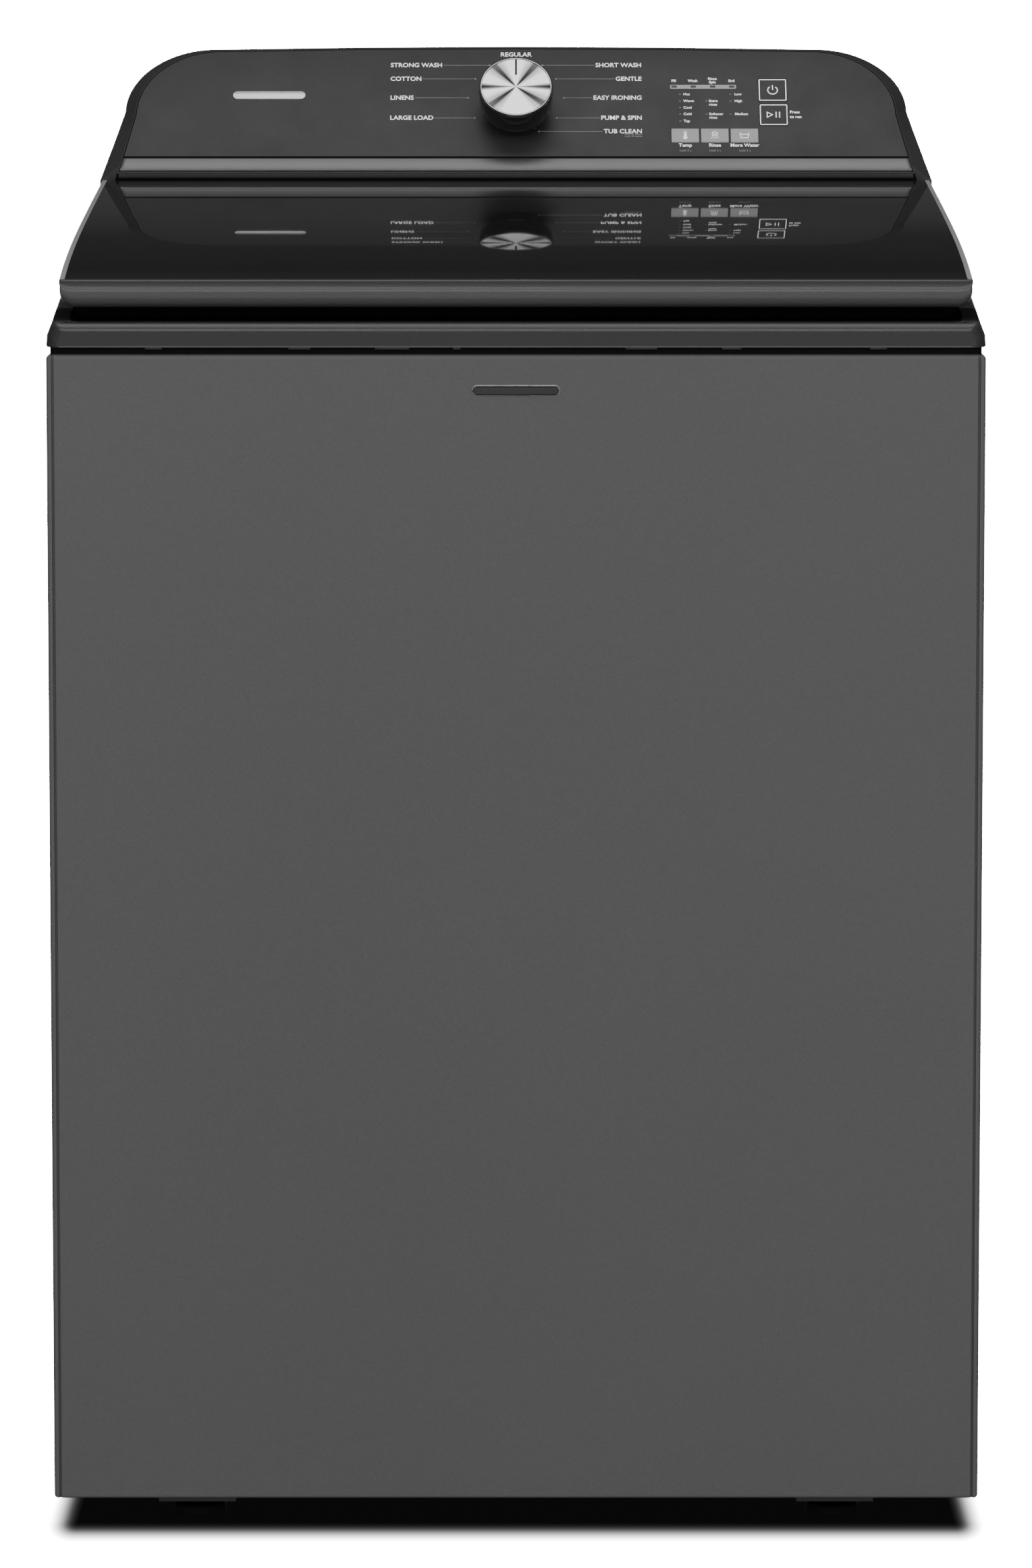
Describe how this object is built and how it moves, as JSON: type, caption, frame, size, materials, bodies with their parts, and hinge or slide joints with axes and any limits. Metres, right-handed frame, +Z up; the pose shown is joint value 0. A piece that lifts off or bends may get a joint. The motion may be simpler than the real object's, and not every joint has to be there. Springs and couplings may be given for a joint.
{
  "type": "top load washing machine",
  "caption": "Top load washing machine with a hinged glass lid, a sprung tub with a spinning basket and wash plate, and a sloped console with a selector knob and push buttons.",
  "frame": {"origin": "on the floor, in the middle of the machine's width and depth", "axes": "+Z up, the front faces -Y, +X is to the right seen from the front"},
  "size_m": [0.6984, 0.69, 1.1038],
  "materials": {
    "cabinet_paint": "matte dark grey paint with a faint metallic grain",
    "galvanised_sheet": "bare galvanised sheet",
    "deck_plastic": "satin dark grey moulded plastic",
    "console_plastic": "satin dark grey, finely speckled",
    "trim_satin": "satin light grey trim",
    "black_glass": "black tempered glass, mirror gloss",
    "black_gloss": "piano black",
    "spun_metal": "spun, with radial highlights",
    "button_grey": "satin mid grey",
    "black_plastic": "matte black",
    "stainless": "brushed stainless",
    "tub_plastic": "off-white moulded plastic",
    "white_plastic": "white moulded plastic",
    "grey_plastic": "mid grey moulded plastic",
    "zinc_steel": "zinc plated",
    "spring_steel": "spring steel",
    "motor_steel": "dark wound motor shell",
    "cast_alloy": "cast alloy",
    "black_rubber": "matte rubber",
    "board_green": "circuit board"
  },
  "bodies": {
    "cabinet": {"cabinet_wrap": "cabinet_paint", "rear_panel": "galvanised_sheet", "base_frame": "galvanised_sheet", "top_deck": "deck_plastic", "console_housing": "console_plastic", "console_fascia": "console_plastic", "console_trim": "trim_satin", "console_rear_cover": "galvanised_sheet", "control_board": "board_green", "selector_encoder": "black_plastic", "light_bar": "button_grey", "lid_lock": "white_plastic", "dispenser_cup": "grey_plastic", "water_inlet_valve": "white_plastic", "fill_hose": "black_rubber", "fill_nozzle": "grey_plastic", "power_gland": "black_rubber", "drain_outlet": "grey_plastic", "drain_hose": "black_rubber", "suspension_rod_front_left": "zinc_steel", "suspension_rod_front_right": "zinc_steel", "suspension_rod_rear_left": "zinc_steel", "suspension_rod_rear_right": "zinc_steel", "suspension_spring_front_left": "spring_steel", "suspension_spring_front_right": "spring_steel", "suspension_spring_rear_left": "spring_steel", "suspension_spring_rear_right": "spring_steel"},
    "tub": {"outer_tub": "tub_plastic", "tub_ring": "white_plastic", "gearcase": "cast_alloy", "drive_motor": "motor_steel", "drain_pump": "grey_plastic", "shift_actuator": "white_plastic", "drive_belt": "black_rubber"},
    "basket": {"wash_basket": "stainless", "balance_ring": "white_plastic", "basket_hub": "cast_alloy", "spin_tube": "zinc_steel"},
    "wash_drive": {"wash_plate": "grey_plastic", "drive_shaft": "zinc_steel", "drive_pulley": "cast_alloy"},
    "motor_rotor": {"motor_pulley": "zinc_steel"},
    "lid": {"lid_frame": "deck_plastic", "lid_glass": "black_glass", "lid_strike": "stainless", "hinge_pin_left": "stainless", "hinge_pin_right": "stainless"},
    "selector_knob": {"knob_body": "black_gloss", "knob_face": "spun_metal", "selector_shaft": "zinc_steel"},
    "temp_key": {"temp_button": "button_grey"},
    "rinse_key": {"rinse_button": "button_grey"},
    "deep_water_key": {"deep_water_button": "button_grey"},
    "power_key": {"power_button": "console_plastic"},
    "start_key": {"start_button": "console_plastic"},
    "bolt": {"lock_bolt": "zinc_steel"},
    "foot_front_left": {"levelling_foot_front_left": "black_rubber"},
    "foot_front_right": {"levelling_foot_front_right": "black_rubber"},
    "foot_rear_left": {"levelling_foot_rear_left": "black_rubber"},
    "foot_rear_right": {"levelling_foot_rear_right": "black_rubber"}
  },
  "joints": [
    {"name": "lid_hinge", "type": "hinge", "parent": "cabinet", "child": "lid", "pos_m": [0, 0.125, 0.981], "axis": [-1, 0, 0], "range_deg": [0, 96]},
    {"name": "tub_travel", "type": "slide", "parent": "cabinet", "child": "tub", "axis": [0, 0, 1], "range_m": [-0.025, 0.008], "stiffness_N_per_m": 7000, "springref_m": 0.0564, "deforming": ["suspension_spring_front_left", "suspension_spring_front_right", "suspension_spring_rear_left", "suspension_spring_rear_right", "drain_hose"]},
    {"name": "basket_spin", "type": "hinge", "parent": "tub", "child": "basket", "pos_m": [0, -0.009, 0.5], "axis": [0, 0, 1], "continuous": true},
    {"name": "wash_plate_turn", "type": "hinge", "parent": "tub", "child": "wash_drive", "pos_m": [0, -0.009, 0.35], "axis": [0, 0, 1], "continuous": true},
    {"name": "motor_turn", "type": "hinge", "parent": "tub", "child": "motor_rotor", "pos_m": [0.12, 0.103, 0.127], "axis": [0, 0, 1], "continuous": true},
    {"name": "selector_turn", "type": "hinge", "parent": "cabinet", "child": "selector_knob", "pos_m": [0, 0.18807, 1.04993], "axis": [0, -0.788, 0.6157], "continuous": true},
    {"name": "temp_press", "type": "slide", "parent": "cabinet", "child": "temp_key", "axis": [0, 0.788, -0.6157], "range_m": [0, 0.0012], "stiffness_N_per_m": 500, "springref_m": -0.001},
    {"name": "rinse_press", "type": "slide", "parent": "cabinet", "child": "rinse_key", "axis": [0, 0.788, -0.6157], "range_m": [0, 0.0012], "stiffness_N_per_m": 500, "springref_m": -0.001},
    {"name": "deep_water_press", "type": "slide", "parent": "cabinet", "child": "deep_water_key", "axis": [0, 0.788, -0.6157], "range_m": [0, 0.0012], "stiffness_N_per_m": 500, "springref_m": -0.001},
    {"name": "power_press", "type": "slide", "parent": "cabinet", "child": "power_key", "axis": [0, 0.788, -0.6157], "range_m": [0, 0.0012], "stiffness_N_per_m": 500, "springref_m": -0.001},
    {"name": "start_press", "type": "slide", "parent": "cabinet", "child": "start_key", "axis": [0, 0.788, -0.6157], "range_m": [0, 0.0012], "stiffness_N_per_m": 500, "springref_m": -0.001},
    {"name": "lock_bolt_slide", "type": "slide", "parent": "cabinet", "child": "bolt", "axis": [-1, 0, 0], "range_m": [0, 0.01]},
    {"name": "foot_turn_front_left", "type": "hinge", "parent": "cabinet", "child": "foot_front_left", "pos_m": [-0.241, -0.3, 0.03], "axis": [0, 0, 1], "continuous": true},
    {"name": "foot_turn_front_right", "type": "hinge", "parent": "cabinet", "child": "foot_front_right", "pos_m": [0.241, -0.3, 0.03], "axis": [0, 0, 1], "continuous": true},
    {"name": "foot_turn_rear_left", "type": "hinge", "parent": "cabinet", "child": "foot_rear_left", "pos_m": [-0.241, 0.278, 0.03], "axis": [0, 0, 1], "continuous": true},
    {"name": "foot_turn_rear_right", "type": "hinge", "parent": "cabinet", "child": "foot_rear_right", "pos_m": [0.241, 0.278, 0.03], "axis": [0, 0, 1], "continuous": true}
  ],
  "couplings": [
    {"joint": "motor_turn", "follows": "wash_plate_turn", "ratio": 3.1992}
  ]
}
